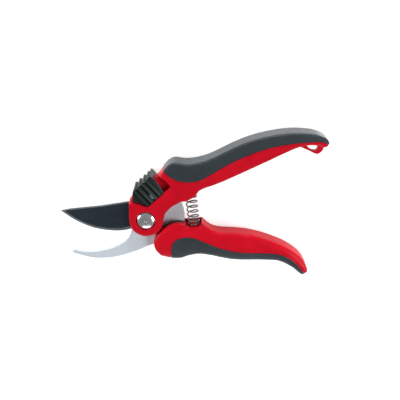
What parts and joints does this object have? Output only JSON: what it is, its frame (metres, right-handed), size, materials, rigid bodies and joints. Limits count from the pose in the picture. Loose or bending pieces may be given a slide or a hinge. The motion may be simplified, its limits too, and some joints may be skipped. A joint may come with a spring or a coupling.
{
  "type": "pruning shears",
  "caption": "Bypass pruning shears with two-tone grips, a coated cutting blade, a hooked counter-blade, a coil return spring and a sliding thumb catch.",
  "frame": {"origin": "on the pivot axis, at the flat end of the pivot nut, in the plane the shears lie on", "axes": "+Z along the pivot axis out of the bolt head, +X from the pivot to the handle ends, +Y towards the handle that carries the catch"},
  "size_m": [0.192, 0.1107, 0.0184],
  "materials": {
    "red_plastic": "satin moulded plastic",
    "slate_rubber": "fine-grained soft grip",
    "black_plastic": "matt moulded plastic",
    "coated_steel": "blue-black low-friction coating",
    "satin_steel": "fine ground",
    "bright_steel": "polished",
    "spring_steel": "drawn wire"
  },
  "bodies": {
    "upper_handle": {"counter_blade": "satin_steel", "upper_front_shell": "red_plastic", "upper_back_shell": "red_plastic", "upper_grip": "slate_rubber", "hanging_loop": "red_plastic", "pivot_bolt": "bright_steel", "pivot_nut": "bright_steel", "pivot_front_washer": "satin_steel", "pivot_spring_washer": "spring_steel", "pivot_bush": "satin_steel", "upper_spring_seat": "red_plastic", "return_spring": "spring_steel", "upper_shell_screw_1": "bright_steel", "upper_shell_screw_2": "bright_steel", "upper_shell_screw_3": "bright_steel"},
    "lower_handle": {"cutting_blade": "coated_steel", "lower_front_shell": "red_plastic", "lower_back_shell": "red_plastic", "lower_grip": "slate_rubber", "lower_spring_seat": "red_plastic", "lower_shell_screw_1": "bright_steel", "lower_shell_screw_2": "bright_steel", "lower_shell_screw_3": "bright_steel"},
    "safety_catch": {"catch_slider": "black_plastic", "catch_pin": "bright_steel", "catch_guide_pin": "bright_steel"}
  },
  "joints": [
    {"name": "handle_pivot", "type": "hinge", "parent": "upper_handle", "child": "lower_handle", "pos_m": [0, 0, 0.009], "axis": [0, 0, 1], "range_deg": [0, 31], "stiffness_Nm_per_rad": 1.2, "springref_deg": -16.04, "deforming": ["return_spring"]},
    {"name": "catch_slide", "type": "slide", "parent": "upper_handle", "child": "safety_catch", "axis": [0.7431, 0.6691, 0], "range_m": [0, 0.003]}
  ]
}
